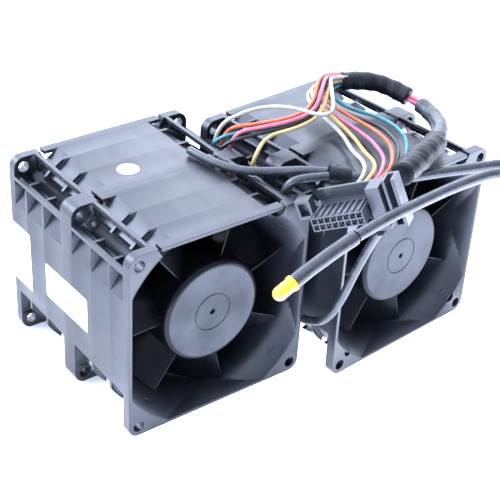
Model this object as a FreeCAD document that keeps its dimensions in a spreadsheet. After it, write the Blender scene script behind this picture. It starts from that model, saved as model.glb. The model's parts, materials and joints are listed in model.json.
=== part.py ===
import FreeCAD, Part
import math
import os
import re

import Sketcher
from FreeCAD import Placement, Rotation, Vector

# Pair of counter-rotating axial fan units that share one wiring harness.
# Row frame: +X from the left unit to the right one, +Y from the inlets to the
# outlets, +Z up; the origin is at the bottom centre of the two units' box.
# A unit's own frame: origin on the fan axis in its seam plane, +z towards the
# inlet, +x to the right, +y up.

SIZES = {
    # frame of one stage
    "unit_width": 80.0,
    "stage_length": 43.0,
    "flange_thickness": 4.0,
    "corner_radius": 4.5,
    "barrel_radius": 45.0,
    "web_radius": 50.0,
    "web_thickness": 1.4,
    "web_front_height": 29.5,
    "web_rear_height": 16.5,
    "rib_thickness": 1.5,
    "top_rib_inset": 10.0,
    "side_rib_inset": 8.0,
    "rib_depth": 9.0,
    # air duct
    "throat_radius": 38.0,
    "mouth_radius": 45.0,
    "mouth_depth": 16.0,
    "edge_wall": 1.3,
    # flange holes and wire slots
    "hole_pitch": 71.5,
    "hole_radius": 2.25,
    "rivet_pitch": 62.5,
    "rivet_hole_radius": 2.1,
    "relief_radius": 3.2,
    "slot_outer": 11.5,
    "slot_gap": 1.8,
    "slot_inner": 20.0,
    "slot_foot": 14.8,
    "slot_depth": 5.3,
    "slot_strip": 1.4,
    # motor mount
    "mount_radius": 20.5,
    "mount_thickness": 2.5,
    "strut_width": 3.0,
    "strut_height": 7.0,
    "tube_radius": 6.6,
    "tube_height": 28.5,
    # motor
    "shaft_radius": 2.0,
    "bearing_radius": 5.0,
    "bearing_width": 4.0,
    "bearing_fit": 0.03,
    "seat_fit": 0.05,
    "stator_radius": 16.4,
    "stator_back": 9.6,
    "stator_base": 11.0,
    "stator_height": 16.0,
    "tooth_width": 2.6,
    "shoe_depth": 1.3,
    "shoe_width": 13.0,
    "coil_width": 6.2,
    "coil_overhang": 1.6,
    "board_radius": 18.5,
    "board_thickness": 1.6,
    "magnet_thickness": 1.8,
    "air_gap": 0.5,
    "cup_wall": 1.0,
    "cup_roof": 1.5,
    "cup_boss": 4.0,
    # impeller
    "hub_radius": 21.5,
    "hub_inset": 5.0,
    "hub_base": 8.5,
    "hub_edge": 2.0,
    "hub_roof": 1.6,
    "hub_ring_radius": 7.8,
    "hub_ring_width": 0.6,
    "hub_ring_depth": 0.3,
    "hub_dimple_radius": 1.2,
    "hub_dimple_depth": 0.8,
    "tip_clearance": 0.7,
    "blade_count": 7,
    "blade_thickness": 1.7,
    "blade_edge": 0.5,
    "blade_base": 9.5,
    "blade_top": 34.5,
    "blade_tip_base": 11.0,
    "blade_tip_top": 36.0,
    "blade_root_run": 17.0,
    "blade_tip_run": 27.0,
    "blade_sweep": 6.0,
    "blade_camber": 2.2,
    # rivets
    "rivet_radius": 2.0,
    "rivet_bore": 1.2,
    "rivet_head_radius": 2.9,
    "rivet_head_height": 0.9,
    # how the two units stand
    "stand_gap": 7.5,
    "stand_lead": 13.0,
    "stand_yaw": 4.7,
    # plug and its panel frame
    "plug_ways": 8,
    "plug_pitch": 2.5,
    "plug_wall": 0.5,
    "plug_depth": 9.0,
    "plug_ridge": 0.6,
    "cell_depth": 6.0,
    "frame_depth": 5.5,
    "frame_wall": 1.4,
    "plug_x": -9.2,
    "plug_y": -57.6,
    "plug_rise": 1.9,
    "plug_yaw": -57.9,
    "plug_roll": 24.1,
    # light and cords
    "led_radius": 2.5,
    "led_length": 8.6,
    "led_tip_radius": 0.3,
    "led_flange_radius": 2.9,
    "led_flange_height": 1.0,
    "wire_diameter": 1.6,
    "cable_diameter": 3.4,
    "joint_radius": 3.7,
    "joint_length": 8.0,
    "lead_diameter": 4.2,
    "shrink_diameter": 5.2,
    "loom_diameter": 8.0,
    "taped_diameter": 7.0,
    "boot_diameter": 10.0,
    "core_diameter": 4.0,
}

doc = FreeCAD.newDocument("fan_pair")
sheet = doc.addObject("Spreadsheet::Sheet", "Sizes")
for row, (alias, value) in enumerate(SIZES.items(), start=1):
    sheet.set(f"A{row}", alias)
    sheet.set(f"B{row}", str(value))
    sheet.setAlias(f"B{row}", alias)
doc.recompute()

ALIAS = re.compile(r"\b(" + "|".join(sorted(SIZES, key=len, reverse=True)) + r")\b")
nodes = []
STRUT_ANGLES = (25, 115, 205, 295)
TEETH = (0, 60, 120, 180, 240, 300)
gauge = doc.addObject("App::FeaturePython", "Gauge")


def linked(formula):
    """The formula with every cell name pointing into the sheet."""
    return ALIAS.sub(r"Sizes.\1", formula)


def value(formula):
    """Number that a formula of cell names gives."""
    return float(gauge.evalExpression(linked(formula)))


def bind(item, **formulas):
    """Bind properties of an object to formulas of cell names."""
    for prop, formula in formulas.items():
        item.setExpression(prop.replace("_at_", ".Base."), linked(formula))
    return item


def box(x, y, z, across, up, deep):
    """Box with its low corner and its sizes along x, y and z given as formulas."""
    item = doc.addObject("Part::Box", "Block")
    return bind(
        item,
        Length=across,
        Width=up,
        Height=deep,
        Placement_at_x=x,
        Placement_at_y=y,
        Placement_at_z=z,
    )


def rod(radius, x, y, z, length):
    """Cylinder along z."""
    item = doc.addObject("Part::Cylinder", "Rod")
    return bind(item, Radius=radius, Height=length, Placement_at_x=x, Placement_at_y=y, Placement_at_z=z)


def spoke(angle, start, length, across, base, height):
    """Box that runs outwards from radius start, turned about z by angle."""
    lie, rise = math.cos(math.radians(angle)), math.sin(math.radians(angle))
    item = doc.addObject("Part::Box", "Spoke")
    item.Placement = Placement(Vector(), Rotation(Vector(0, 0, 1), angle))
    return bind(
        item,
        Length=length,
        Width=across,
        Height=height,
        Placement_at_x=f"{lie}*({start}) + {rise}*({across})/2",
        Placement_at_y=f"{rise}*({start}) - {lie}*({across})/2",
        Placement_at_z=base,
    )


def boolean(kind, base, tool):
    item = doc.addObject(f"Part::{kind}", kind)
    item.Base = base
    item.Tool = tool
    return item


def fused(parts):
    item = doc.addObject("Part::MultiFuse", "Joined")
    item.Shapes = parts
    return item


def node(item, label, place=None):
    """Name a finished piece, stand it in its place and keep it for export."""
    item.Label = label
    if place is not None:
        item.Placement = place
    nodes.append(item)
    return item


def grouped(pieces, label):
    """Several equal pieces kept as one node of separate solids."""
    item = doc.addObject("Part::Compound", "Group")
    item.Links = pieces
    return node(item, label)


def origin_plane(body, role):
    return next(item for item in body.Origin.OriginFeatures if item.Role == role)


def bow(start, middle, stop):
    """Arc through three points, counterclockwise, and whether that swaps its ends."""
    circle = Part.Arc(start, middle, stop).toShape().Curve
    upward = Vector(0, 0, 1)
    swapped = (middle - start).cross(stop - middle).z < 0
    first, last = (stop, start) if swapped else (start, stop)
    low, high = (math.atan2(spot.y - circle.Center.y, spot.x - circle.Center.x) for spot in (first, last))
    return Part.ArcOfCircle(Part.Circle(circle.Center, upward, circle.Radius), low, high), swapped


def outline(body, role, corners, offset="0"):
    """Closed sketch on an origin plane, lifted by offset.

    A corner is (x, y); with two more formulas the side that leaves it is an
    arc through that middle point.
    """
    sketch = body.newObject("Sketcher::SketchObject", "Outline")
    sketch.AttachmentSupport = [(origin_plane(body, role), "")]
    sketch.MapMode = "FlatFace"
    sketch.setExpression("AttachmentOffset.Base.z", linked(offset))
    spots = [Vector(value(corner[0]), value(corner[1]), 0) for corner in corners]
    ends = []
    for index, corner in enumerate(corners):
        start, stop = spots[index], spots[(index + 1) % len(spots)]
        if len(corner) == 2:
            side = Part.LineSegment(start, stop)
            swapped = False
        else:
            side, swapped = bow(start, Vector(value(corner[2]), value(corner[3]), 0), stop)
        sketch.addGeometry(side, False)
        ends.append((2, 1) if swapped else (1, 2))
    for index in range(len(corners)):
        following = (index + 1) % len(corners)
        leave, arrive = ends[index][1], ends[following][0]
        sketch.addConstraint(Sketcher.Constraint("Coincident", index, leave, following, arrive))
    for index, corner in enumerate(corners):
        pin(sketch, index, ends[index][0], corner[0], corner[1])
        if len(corner) == 4:
            marker = sketch.addGeometry(Part.Point(Vector(value(corner[2]), value(corner[3]), 0)), True)
            pin(sketch, marker, 1, corner[2], corner[3])
            sketch.addConstraint(Sketcher.Constraint("PointOnObject", marker, 1, index))
    return sketch


def pin(sketch, geometry, end, x, y):
    """Fix a point of a sketch at formulas for its x and y."""
    for kind, axis, formula in (("DistanceX", -2, x), ("DistanceY", -1, y)):
        distance = value(formula)
        if formula == "0":
            sketch.addConstraint(Sketcher.Constraint("PointOnObject", geometry, end, axis))
            continue
        number = sketch.addConstraint(Sketcher.Constraint(kind, -1, 1, geometry, end, distance))
        sketch.setExpression(f"Constraints[{number}]", linked(formula))


def revolved(body, corners, kind="Revolution"):
    """Turn a profile of (radius, height) corners about the body's z axis."""
    sketch = outline(body, "XZ_Plane", corners)
    feature = body.newObject(f"PartDesign::{kind}", kind)
    feature.Profile = sketch
    feature.ReferenceAxis = (sketch, ["V_Axis"])
    feature.Angle = 360
    return feature


def turned(corners, name="Turned"):
    body = doc.addObject("PartDesign::Body", name)
    revolved(body, corners)
    return body


# Where the units stand

yaw = value("stand_yaw")
yaw_rad = math.radians(yaw)
width = value("unit_width")
stage = value("stage_length")
box_x = width + value("stand_gap") + width * math.cos(yaw_rad)
box_y = 2 * stage + value("stand_lead")


def unit_place(unit):
    """Placement of a unit's own frame in the row frame."""
    lift = width / 2
    if unit == "left":
        centre = Vector(width / 2 - box_x / 2, box_y / 2 - stage, lift)
        return Placement(centre, Rotation(Vector(1, 0, 0), 90))
    corner = Vector(width + value("stand_gap") - box_x / 2, -box_y / 2, lift)
    turn = Rotation(Vector(0, 0, 1), yaw)
    return Placement(corner + turn.multVec(Vector(width / 2, stage, 0)), turn * Rotation(Vector(1, 0, 0), 90))


def stage_place(unit, facing):
    """Placement of a stage: the rear stage is the front one turned about."""
    if facing == "front":
        return unit_place(unit)
    return unit_place(unit) * Placement(Vector(), Rotation(Vector(0, 1, 0), 180))


# Stage housings


def square_prism(side, base, height, corner=None):
    """Square prism about the z axis, its upright edges rounded where asked."""
    body = doc.addObject("PartDesign::Body", "Prism")
    half = f"({side})/2"
    square = [(f"-{half}", f"-{half}"), (half, f"-{half}"), (half, half), (f"-{half}", half)]
    sketch = outline(body, "XY_Plane", square, base)
    pad = body.newObject("PartDesign::Pad", "Pad")
    pad.Profile = sketch
    pad.setExpression("Length", linked(height))
    if corner:
        doc.recompute()
        upright = [
            f"Edge{number}"
            for number, edge in enumerate(pad.Shape.Edges, start=1)
            if abs(edge.tangentAt(edge.FirstParameter).z) > 0.99
        ]
        fillet = body.newObject("PartDesign::Fillet", "Fillet")
        fillet.Base = (pad, upright)
        fillet.setExpression("Radius", linked(corner))
    return body


def wire_slot(side, base):
    """Cut that lets the leads through a flange near a top corner."""
    half = "unit_width/2"
    corners = [
        ("slot_outer", "-1"),
        ("slot_outer + slot_gap", "-1"),
        ("slot_outer + slot_gap", "slot_strip"),
        ("slot_inner", "slot_strip"),
        ("slot_foot", "slot_depth"),
        ("slot_outer", "0.01"),
    ]
    body = doc.addObject("PartDesign::Body", "Slot")
    corners = [(f"{side}*({half} - ({a}))", f"{half} - ({b})") for a, b in corners]
    sketch = outline(body, "XY_Plane", corners, base)
    pad = body.newObject("PartDesign::Pad", "Pad")
    pad.Profile = sketch
    pad.setExpression("Length", linked("flange_thickness + 1"))
    return body


def housing(unit, facing):
    """One stage: two flanges, a clipped barrel, webs, ribs and the motor mount."""
    half = "unit_width/2"
    top = "stage_length - flange_thickness"
    solid = [
        rod("barrel_radius", "0", "0", "0", "stage_length"),
        rod("web_radius", "0", "0", "web_front_height", "web_thickness"),
        rod("web_radius", "0", "0", "web_rear_height", "web_thickness"),
        box(f"-{half}", f"-{half}", "0", "unit_width", "unit_width", "flange_thickness"),
        box(f"-{half}", f"-{half}", top, "unit_width", "unit_width", "flange_thickness"),
    ]
    for side in (-1, 1):
        for end in (-1, 1):
            solid.append(
                box(
                    f"{side}*({half} - top_rib_inset) - rib_thickness/2",
                    f"{end}*({half} - rib_depth/2) - rib_depth/2",
                    "0",
                    "rib_thickness",
                    "rib_depth",
                    "stage_length",
                )
            )
            solid.append(
                box(
                    f"{side}*({half} - rib_depth/2) - rib_depth/2",
                    f"{end}*({half} - side_rib_inset) - rib_thickness/2",
                    "0",
                    "rib_depth",
                    "rib_thickness",
                    "stage_length",
                )
            )
    envelope = square_prism("unit_width", "0", "stage_length", "corner_radius")
    shell = boolean("Common", fused(solid), envelope)

    bell = turned(
        [
            ("0", "-1"),
            ("throat_radius", "-1"),
            (
                "throat_radius",
                "stage_length - mouth_depth",
                "throat_radius + 0.26*(mouth_radius - throat_radius)",
                "stage_length - 0.454*mouth_depth",
            ),
            ("mouth_radius", "stage_length"),
            ("mouth_radius", "stage_length + 1"),
            ("0", "stage_length + 1"),
        ],
        "Bell",
    )
    duct = boolean("Common", bell, square_prism("unit_width - 2*edge_wall", "-2", "stage_length + 4"))
    cuts = [duct]
    for side in (-1, 1):
        for end in (-1, 1):
            x, y = f"{side}*hole_pitch/2", f"{end}*hole_pitch/2"
            cuts.append(rod("hole_radius", x, y, "-1", "stage_length + 2"))
            x, y = f"{side}*rivet_pitch/2", f"{end}*rivet_pitch/2"
            cuts.append(rod("rivet_hole_radius", x, y, "-1", "flange_thickness + 2"))
            cuts.append(rod("relief_radius", x, y, "flange_thickness", "stage_length - 2*flange_thickness"))
            if facing == "rear" or (unit == "right" and end < 0):
                cuts.append(rod("rivet_hole_radius", x, y, f"{top} - 1", "flange_thickness + 2"))
        cuts.append(wire_slot(side, "-1"))
        cuts.append(wire_slot(side, top))
    shell = boolean("Cut", shell, fused(cuts))

    mount = [
        rod("mount_radius", "0", "0", "0", "mount_thickness"),
        rod("tube_radius", "0", "0", "0", "tube_height"),
    ]
    start = "board_radius + 0.5"
    reach = f"throat_radius + 1.5 - ({start})"
    for angle in STRUT_ANGLES:
        mount.append(spoke(angle, start, reach, "strut_width", "0", "strut_height"))
    mount = boolean(
        "Cut",
        fused(mount),
        rod("bearing_radius + seat_fit", "0", "0", "mount_thickness", "tube_height"),
    )
    whole = boolean("Fuse", shell, mount)
    node(whole, f"{unit}_{facing}_housing", stage_place(unit, facing))


# Impellers


def blade_section(body, radius, run, base, top, sweep, hand):
    """Blade outline at one radius: two bowed faces between blunt edges."""
    lead, trail = f"{hand}*({run}/2 + {sweep})", f"{hand}*(-{run}/2 + {sweep})"
    middle = f"{hand}*({sweep} - blade_camber)"
    height = f"(({base}) + ({top}))/2"
    corners = [
        (f"{trail} - blade_edge/2", base, f"{middle} - blade_thickness/2", height),
        (f"{lead} - blade_edge/2", top),
        (f"{lead} + blade_edge/2", top, f"{middle} + blade_thickness/2", height),
        (f"{trail} + blade_edge/2", base),
    ]
    return outline(body, "YZ_Plane", corners, radius)


def impeller(unit, facing):
    """Hub cup with swept blades, trimmed to a round tip circle."""
    hand = 1 if facing == "front" else -1
    face = "stage_length - hub_inset"
    body = doc.addObject("PartDesign::Body", "Impeller")
    revolved(
        body,
        [
            ("0", "hub_base"),
            ("hub_radius", "hub_base"),
            (
                "hub_radius",
                f"{face} - hub_edge",
                "hub_radius - 0.2929*hub_edge",
                f"{face} - 0.2929*hub_edge",
            ),
            ("hub_radius - hub_edge", face),
            ("0", face),
        ],
    )
    root, tip = "hub_radius - 3", "throat_radius + 4"
    sections = [
        blade_section(body, root, "blade_root_run", "blade_base", "blade_top", "0", hand),
        blade_section(body, tip, "blade_tip_run", "blade_tip_base", "blade_tip_top", "blade_sweep", hand),
    ]
    blade = body.newObject("PartDesign::AdditiveLoft", "Blade")
    blade.Profile = sections[0]
    blade.Sections = sections[1:]
    ring = body.newObject("PartDesign::PolarPattern", "Blades")
    ring.Originals = [blade]
    ring.Axis = (origin_plane(body, "Z_Axis"), [""])
    ring.Angle = 360
    ring.setExpression("Occurrences", linked("blade_count"))
    body.Tip = ring
    doc.recompute()
    revolved(
        body,
        [
            ("throat_radius - tip_clearance", "-1"),
            ("throat_radius + 20", "-1"),
            ("throat_radius + 20", "stage_length + 1"),
            ("throat_radius - tip_clearance", "stage_length + 1"),
        ],
        "Groove",
    )
    bore, roof = "cup_radius", f"{face} - hub_roof"
    cavity = [("0", "-1"), (bore, "-1"), (bore, roof), ("0", roof)]
    revolved(body, [(r.replace("cup_radius", CUP_RADIUS), z) for r, z in cavity], "Groove")
    groove_in, groove_out = "hub_ring_radius - hub_ring_width/2", "hub_ring_radius + hub_ring_width/2"
    floor = f"{face} - hub_ring_depth"
    above = f"{face} + 1"
    ring_cut = [(groove_in, floor), (groove_out, floor), (groove_out, above), (groove_in, above)]
    revolved(body, ring_cut, "Groove")
    floor = f"{face} - hub_dimple_depth"
    dimple = [("0", floor), ("hub_dimple_radius", floor), ("hub_dimple_radius", above), ("0", above)]
    revolved(body, dimple, "Groove")
    node(body, f"{unit}_{facing}_impeller", stage_place(unit, facing))


# Motor parts that turn with the impeller

MAGNET_BORE = "(stator_radius + air_gap)"
CUP_BORE = "(stator_radius + air_gap + magnet_thickness + seat_fit)"
CUP_RADIUS = "(stator_radius + air_gap + magnet_thickness + 2*seat_fit + cup_wall)"
CUP_TOP = "(stage_length - hub_inset - hub_roof - seat_fit)"


def rotor_parts(unit, facing):
    """Steel cup, magnet ring and shaft."""
    place = stage_place(unit, facing)
    inside = f"{CUP_TOP} - cup_roof"
    wall = f"{CUP_RADIUS} - seat_fit"
    cup = turned(
        [
            ("shaft_radius + seat_fit", f"{inside} - 2"),
            ("cup_boss", f"{inside} - 2"),
            ("cup_boss", inside),
            (CUP_BORE, inside),
            (CUP_BORE, "hub_base + 0.5"),
            (wall, "hub_base + 0.5"),
            (wall, CUP_TOP),
            ("shaft_radius + seat_fit", CUP_TOP),
        ],
        "Cup",
    )
    node(cup, f"{unit}_{facing}_rotor_cup", place)
    low, high = "stator_base - 1", "stator_base + stator_height + 1"
    wall = f"{CUP_BORE} - seat_fit"
    magnet = turned([(MAGNET_BORE, low), (wall, low), (wall, high), (MAGNET_BORE, high)], "Magnet")
    node(magnet, f"{unit}_{facing}_magnet_ring", place)
    foot, end = "mount_thickness + 0.3", f"{CUP_TOP} - 0.2"
    shaft = turned([("0", foot), ("shaft_radius", foot), ("shaft_radius", end), ("0", end)], "Shaft")
    node(shaft, f"{unit}_{facing}_shaft", place)


# Motor parts that stand still, grouped by unit


def bearing(base):
    inner, outer = "shaft_radius + bearing_fit", "bearing_radius"
    high = f"({base}) + bearing_width"
    return turned([(inner, base), (outer, base), (outer, high), (inner, high)], "Bearing")


def stator():
    """Laminated core: a ring, six teeth and their pole shoes."""
    depth = ("stator_base", "stator_height")
    reach = "stator_radius - stator_back"
    teeth = [spoke(angle, "stator_back - 1", f"{reach} + 0.5", "tooth_width", *depth) for angle in TEETH]
    lands = [spoke(angle, "stator_back", f"{reach} + 2", "shoe_width", *depth) for angle in TEETH]
    rim = boolean(
        "Cut",
        rod("stator_radius", "0", "0", *depth),
        rod("stator_radius - shoe_depth", "0", "0", "stator_base - 1", "stator_height + 2"),
    )
    core = fused([rod("stator_back", "0", "0", *depth), *teeth, boolean("Common", rim, fused(lands))])
    ends = rod("stator_radius", "0", "0", *depth)
    bore = rod("tube_radius + seat_fit", "0", "0", "stator_base - 1", "stator_height + 2")
    return boolean("Cut", boolean("Common", core, ends), bore)


def coil(angle):
    """Winding round one tooth."""
    start = "stator_back + 0.3"
    length = f"stator_radius - shoe_depth - 0.6 - ({start})"
    low, tall = "stator_base - coil_overhang", "stator_height + 2*coil_overhang"
    outside = spoke(angle, start, length, "coil_width", low, tall)
    inside = spoke(
        angle,
        "stator_back",
        "stator_radius",
        "tooth_width + 2*seat_fit",
        "stator_base - seat_fit",
        "stator_height + 2*seat_fit",
    )
    return boolean("Cut", outside, inside)


def board():
    low = "mount_thickness + 0.3"
    high = f"{low} + board_thickness"
    inner = "tube_radius + seat_fit"
    return turned([(inner, low), ("board_radius", low), ("board_radius", high), (inner, high)], "Board")


def placed(item, place):
    item.Placement = place
    return item


def motor_groups(unit):
    """Bearings, cores, windings and boards of a unit's two motors."""
    sides = [stage_place(unit, facing) for facing in ("front", "rear")]
    seats = ("mount_thickness + 1.5", "tube_height - bearing_width")
    grouped([placed(bearing(seat), side) for side in sides for seat in seats], f"{unit}_bearings")
    grouped([placed(stator(), side) for side in sides], f"{unit}_stator_cores")
    grouped([placed(coil(angle), side) for side in sides for angle in TEETH], f"{unit}_windings")
    grouped([placed(board(), side) for side in sides], f"{unit}_circuit_boards")


def rivets(unit):
    """Tubular rivets that hold the two stages' inner flanges together."""
    grip = "flange_thickness"
    head = f"{grip} + rivet_head_height"
    pieces = []
    for side in (-1, 1):
        for end in (-1, 1):
            body = turned(
                [
                    ("rivet_bore", f"-({head})"),
                    ("rivet_head_radius", f"-({head})"),
                    ("rivet_head_radius", f"-{grip}"),
                    ("rivet_radius", f"-{grip}"),
                    ("rivet_radius", grip),
                    ("rivet_head_radius", grip),
                    ("rivet_head_radius", head),
                    ("rivet_bore", head),
                ],
                "Rivet",
            )
            spot = Vector(side * value("rivet_pitch") / 2, end * value("rivet_pitch") / 2, 0)
            pieces.append(placed(body, unit_place(unit) * Placement(spot, Rotation())))
    grouped(pieces, f"{unit}_rivets")


# Sixteen-way plug and the frame that holds it
# Own frame: origin at the middle of the mating face, +x along the rows, +y
# across them and +z out of the face.

plug_place = Placement(
    Vector(value("plug_x"), value("plug_y"), value("unit_width + plug_rise")),
    Rotation(Vector(0, 0, 1), value("plug_yaw"))
    * Rotation(Vector(1, 0, 0), 90)
    * Rotation(Vector(0, 0, 1), value("plug_roll")),
)


def plug():
    """Two rows of square sockets with a ridge on every silo of the top row."""
    half = "(plug_ways*plug_pitch + plug_wall)/2"
    block = box(
        f"-{half}",
        "-plug_pitch - plug_wall/2",
        "-plug_depth",
        f"2*{half}",
        "2*plug_pitch + plug_wall",
        "plug_depth",
    )
    inside = "plug_pitch - plug_wall"
    ridges, cells = [], []
    for way in range(int(value("plug_ways"))):
        x = f"({way} - plug_ways/2)*plug_pitch"
        ridges.append(
            box(
                f"{x} + 0.3*plug_pitch",
                "plug_pitch",
                "-plug_depth",
                "0.4*plug_pitch",
                "plug_wall/2 + plug_ridge",
                "plug_depth - 0.4",
            )
        )
        for y in ("-plug_pitch", "0"):
            low_x, low_y = f"{x} + plug_wall/2", f"{y} + plug_wall/2"
            cells.append(box(low_x, low_y, "-cell_depth", inside, inside, "cell_depth + 1"))
    whole = boolean("Cut", fused([block, *ridges]), fused(cells))
    node(whole, "plug_housing", plug_place)


def plug_frame():
    """Panel frame: back block with a raised wall, guide ear and slotted rails."""
    half = "(plug_ways*plug_pitch + plug_wall)/2"
    back = "-(plug_depth + frame_depth)"
    across, up = f"2*{half} + 1.6", "2*plug_pitch + 2"
    parts = [
        box(f"-{half} - 0.8", "-plug_pitch - 1.2", back, across, up, "frame_depth"),
        box(f"-{half}", "plug_pitch", back, f"2*{half} + 2", "5.4", "frame_wall"),
        box(f"-{half} - 6.4", "0.4", f"{back} + 5", "5.8", "7.6", "frame_depth - 1"),
        box(f"{half} + 0.8", "-9", back, "5.2", "17", f"frame_depth + 3"),
        box(f"{half} + 7.2", "-9.5", back, "4.8", "19", f"frame_depth + 1.6"),
        box(f"{half} + 0.8", "-9", back, "11", "17", "frame_wall"),
    ]
    cuts = [
        box(f"-{half} - 5.4", "1.6", f"{back} + 5 + frame_wall", "3.8", "5.2", "frame_depth + 6"),
        box(f"{half} + 8.3", "-8.3", f"{back} + frame_wall", "2.4", "19", "frame_depth + 2"),
    ]
    node(boolean("Cut", fused(parts), fused(cuts)), "plug_frame", plug_place)


# Cords


def tube(label, route, thickness):
    """Plain tube: straight runs joined by arcs as large as the runs allow."""
    spots = [Vector(*spot) for spot in route]
    sides, radii = [], []
    start = spots[0]
    for before, corner, after in zip(spots, spots[1:], spots[2:]):
        come, leave = before - corner, after - corner
        reach = 0.45 * min(come.Length, leave.Length)
        turn = math.pi - come.getAngle(leave)
        radius = reach / math.tan(turn / 2)
        enter, leaves = corner + come.normalize() * reach, corner + leave.normalize() * reach
        inward = (come + leave).normalize()
        middle = corner + inward * (radius / math.cos(turn / 2) - radius)
        sides.append(Part.LineSegment(start, enter).toShape())
        sides.append(Part.Arc(enter, middle, leaves).toShape())
        radii.append(radius)
        start = leaves
    sides.append(Part.LineSegment(start, spots[-1]).toShape())
    path = Part.Wire(sides)
    radius = value(thickness) / 2
    section = Part.Wire(Part.makeCircle(radius, spots[0], spots[1] - spots[0]))
    solid = path.makePipeShell([section], True, False)
    share = solid.Volume / (math.pi * radius**2 * path.Length)
    bends = [round(bend, 1) for bend in radii]
    print(f"{label}: length {path.Length:.0f}, radii {bends}, volume share {share:.4f}")
    cord = doc.addObject("Part::Feature", "Cord")
    cord.Shape = solid
    return node(cord, label)


def along(route, distance):
    """Placement at the end of a route, moved on by a distance, +z along it."""
    last, before = Vector(*route[-1]), Vector(*route[-2])
    run = (last - before).normalize()
    return Placement(last + run * distance, Rotation(Vector(0, 0, 1), run))


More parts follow.
